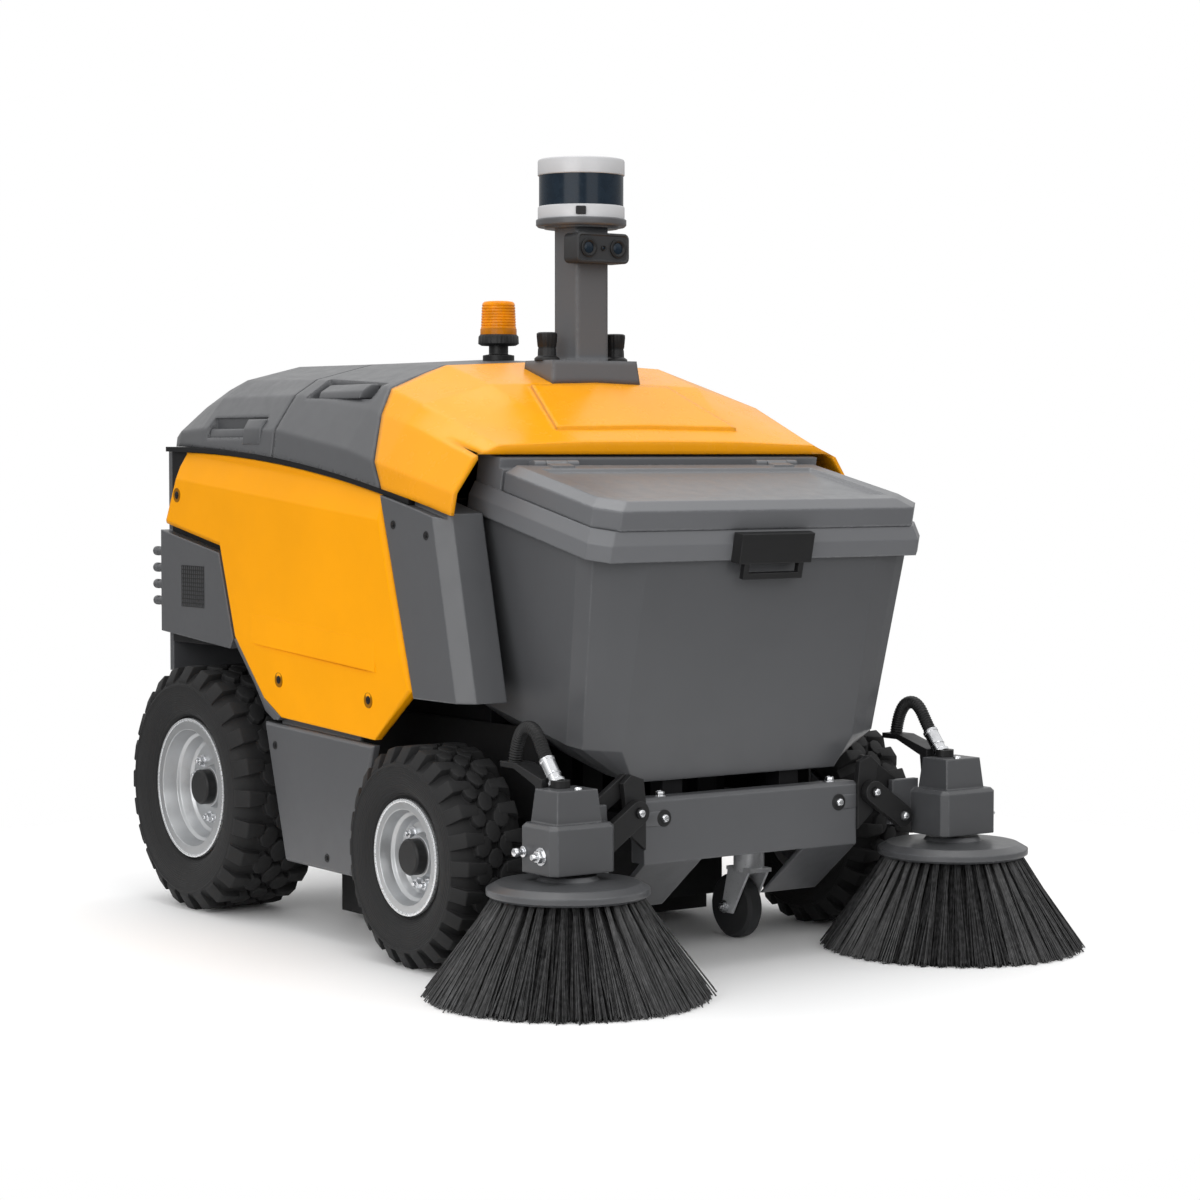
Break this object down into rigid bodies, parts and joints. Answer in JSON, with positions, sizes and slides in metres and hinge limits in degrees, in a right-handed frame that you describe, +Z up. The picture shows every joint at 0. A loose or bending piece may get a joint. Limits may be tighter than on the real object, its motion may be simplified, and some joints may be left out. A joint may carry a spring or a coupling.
{
  "type": "robotic sweeper",
  "caption": "Self-driving outdoor sweeper with a front hopper, sensor mast, tyred wheels, side brushes on lifting arms and a roller broom under the body.",
  "frame": {"origin": "on the floor, under the middle of the length and width", "axes": "+Z up, front of the machine to -Y, X across"},
  "size_m": [1.123, 1.417, 1.221],
  "materials": {
    "tyre_rubber": "moulded rubber",
    "black_plastic": "black moulded plastic",
    "rim_silver": "silver-grey paint",
    "yellow_panel": "satin yellow-orange moulding",
    "grey_plastic": "fine-grained grey moulding",
    "dark_frame": "black powder coat",
    "zinc_steel": "zinc plated",
    "caster_grey": "grey rubber tread",
    "bristle_black": "black polypropylene bristle",
    "lidar_silver": "silver-white paint",
    "lidar_dark": "dark infrared window",
    "amber_lens": "amber lens",
    "hose_black": "corrugated conduit",
    "battery_grey": "plain case"
  },
  "bodies": {
    "body": {"arm_brackets": "black_plastic", "battery_pack": "battery_grey", "beacon_base": "black_plastic", "beacon_lens": "amber_lens", "body_tub": "dark_frame", "broom_housing": "dark_frame", "chassis_frame": "dark_frame", "cowl": "yellow_panel", "front_axle": "dark_frame", "front_bumper": "grey_plastic", "hopper_bin": "grey_plastic", "latch": "black_plastic", "lidar_rings": "lidar_silver", "lidar_window": "lidar_dark", "mast": "grey_plastic", "mast_knobs": "black_plastic", "mid_cover": "grey_plastic", "rear_axle": "dark_frame", "rear_shell": "grey_plastic", "shoulders": "grey_plastic", "side_panels": "yellow_panel", "skirts": "grey_plastic", "stereo_camera": "black_plastic"},
    "rear_hood": {"rear_hood": "grey_plastic"},
    "hopper_lid": {"hopper_lid": "grey_plastic"},
    "main_broom": {"main_broom": "bristle_black"},
    "rear_wheel_left": {"rear_tyre_left": "tyre_rubber", "rear_rim_left": "rim_silver", "rear_hub_cap_left": "black_plastic"},
    "knuckle_left": {"knuckle_left": "dark_frame"},
    "front_wheel_left": {"front_tyre_left": "tyre_rubber", "front_rim_left": "rim_silver", "front_hub_cap_left": "black_plastic"},
    "caster_left": {"caster_fork_left": "zinc_steel"},
    "caster_wheel_left": {"caster_wheel_left": "caster_grey"},
    "arm_left": {"arm_left": "black_plastic"},
    "link_left": {"link_left": "black_plastic"},
    "brush_head_left": {"brush_motor_left": "grey_plastic", "hose_left": "hose_black", "hose_bracket_left": "black_plastic"},
    "side_brush_left": {"brush_disc_left": "grey_plastic", "bristles_left": "bristle_black"},
    "rear_wheel_right": {"rear_tyre_right": "tyre_rubber", "rear_rim_right": "rim_silver", "rear_hub_cap_right": "black_plastic"},
    "knuckle_right": {"knuckle_right": "dark_frame"},
    "front_wheel_right": {"front_tyre_right": "tyre_rubber", "front_rim_right": "rim_silver", "front_hub_cap_right": "black_plastic"},
    "caster_right": {"caster_fork_right": "zinc_steel"},
    "caster_wheel_right": {"caster_wheel_right": "caster_grey"},
    "arm_right": {"arm_right": "black_plastic"},
    "link_right": {"link_right": "black_plastic"},
    "brush_head_right": {"brush_motor_right": "grey_plastic", "hose_right": "hose_black", "hose_bracket_right": "black_plastic"},
    "side_brush_right": {"brush_disc_right": "grey_plastic", "bristles_right": "bristle_black"}
  },
  "joints": [
    {"name": "hood_open", "type": "hinge", "parent": "body", "child": "rear_hood", "pos_m": [0, 0.6595, 0.75801], "axis": [-1, 0, 0], "range_deg": [0, 65]},
    {"name": "lid_open", "type": "hinge", "parent": "body", "child": "hopper_lid", "pos_m": [0, -0.26096, 0.7422], "axis": [-1, 0, 0], "range_deg": [0, 85]},
    {"name": "broom_spin", "type": "hinge", "parent": "body", "child": "main_broom", "pos_m": [0, 0.1275, 0.14], "axis": [1, 0, 0], "continuous": true},
    {"name": "rear_wheel_left_spin", "type": "hinge", "parent": "body", "child": "rear_wheel_left", "pos_m": [-0.347, 0.5055, 0.203], "axis": [1, 0, 0], "continuous": true},
    {"name": "steer_left", "type": "hinge", "parent": "body", "child": "knuckle_left", "pos_m": [-0.335, -0.1865, 0.165], "axis": [0, 0, 1], "range_deg": [-15, 15]},
    {"name": "front_wheel_left_spin", "type": "hinge", "parent": "knuckle_left", "child": "front_wheel_left", "pos_m": [-0.375, -0.1865, 0.165], "axis": [1, 0, 0], "continuous": true},
    {"name": "caster_left_swivel", "type": "hinge", "parent": "body", "child": "caster_left", "pos_m": [-0.15, -0.2725, 0.15], "axis": [0, 0, 1], "continuous": true},
    {"name": "caster_left_roll", "type": "hinge", "parent": "caster_left", "child": "caster_wheel_left", "pos_m": [-0.15, -0.2425, 0.05], "axis": [1, 0, 0], "continuous": true},
    {"name": "arm_left_lift", "type": "hinge", "parent": "body", "child": "arm_left", "pos_m": [-0.222, -0.4685, 0.246], "axis": [0, 1, 0], "range_deg": [0, 15]},
    {"name": "head_left_level", "type": "hinge", "parent": "arm_left", "child": "brush_head_left", "pos_m": [-0.28, -0.4685, 0.206], "axis": [0, 1, 0], "range_deg": [-15, 0]},
    {"name": "link_left_lift", "type": "hinge", "parent": "body", "child": "link_left", "pos_m": [-0.226, -0.4685, 0.288], "axis": [0, 1, 0], "range_deg": [0, 15]},
    {"name": "brush_left_spin", "type": "hinge", "parent": "brush_head_left", "child": "side_brush_left", "pos_m": [-0.3615, -0.5085, 0.142], "axis": [0, 0, 1], "continuous": true},
    {"name": "rear_wheel_right_spin", "type": "hinge", "parent": "body", "child": "rear_wheel_right", "pos_m": [0.347, 0.5055, 0.203], "axis": [1, 0, 0], "continuous": true},
    {"name": "steer_right", "type": "hinge", "parent": "body", "child": "knuckle_right", "pos_m": [0.335, -0.1865, 0.165], "axis": [0, 0, 1], "range_deg": [-15, 15]},
    {"name": "front_wheel_right_spin", "type": "hinge", "parent": "knuckle_right", "child": "front_wheel_right", "pos_m": [0.375, -0.1865, 0.165], "axis": [1, 0, 0], "continuous": true},
    {"name": "caster_right_swivel", "type": "hinge", "parent": "body", "child": "caster_right", "pos_m": [0.15, -0.2725, 0.15], "axis": [0, 0, 1], "continuous": true},
    {"name": "caster_right_roll", "type": "hinge", "parent": "caster_right", "child": "caster_wheel_right", "pos_m": [0.15, -0.2425, 0.05], "axis": [1, 0, 0], "continuous": true},
    {"name": "arm_right_lift", "type": "hinge", "parent": "body", "child": "arm_right", "pos_m": [0.222, -0.4685, 0.246], "axis": [0, -1, 0], "range_deg": [0, 15]},
    {"name": "head_right_level", "type": "hinge", "parent": "arm_right", "child": "brush_head_right", "pos_m": [0.28, -0.4685, 0.206], "axis": [0, -1, 0], "range_deg": [-15, 0]},
    {"name": "link_right_lift", "type": "hinge", "parent": "body", "child": "link_right", "pos_m": [0.226, -0.4685, 0.288], "axis": [0, -1, 0], "range_deg": [0, 15]},
    {"name": "brush_right_spin", "type": "hinge", "parent": "brush_head_right", "child": "side_brush_right", "pos_m": [0.3615, -0.5085, 0.142], "axis": [0, 0, 1], "continuous": true}
  ],
  "couplings": [
    {"joint": "head_left_level", "follows": "arm_left_lift", "ratio": -1},
    {"joint": "link_left_lift", "follows": "arm_left_lift", "ratio": 1},
    {"joint": "head_right_level", "follows": "arm_right_lift", "ratio": -1},
    {"joint": "link_right_lift", "follows": "arm_right_lift", "ratio": 1},
    {"joint": "steer_right", "follows": "steer_left", "ratio": 1}
  ]
}
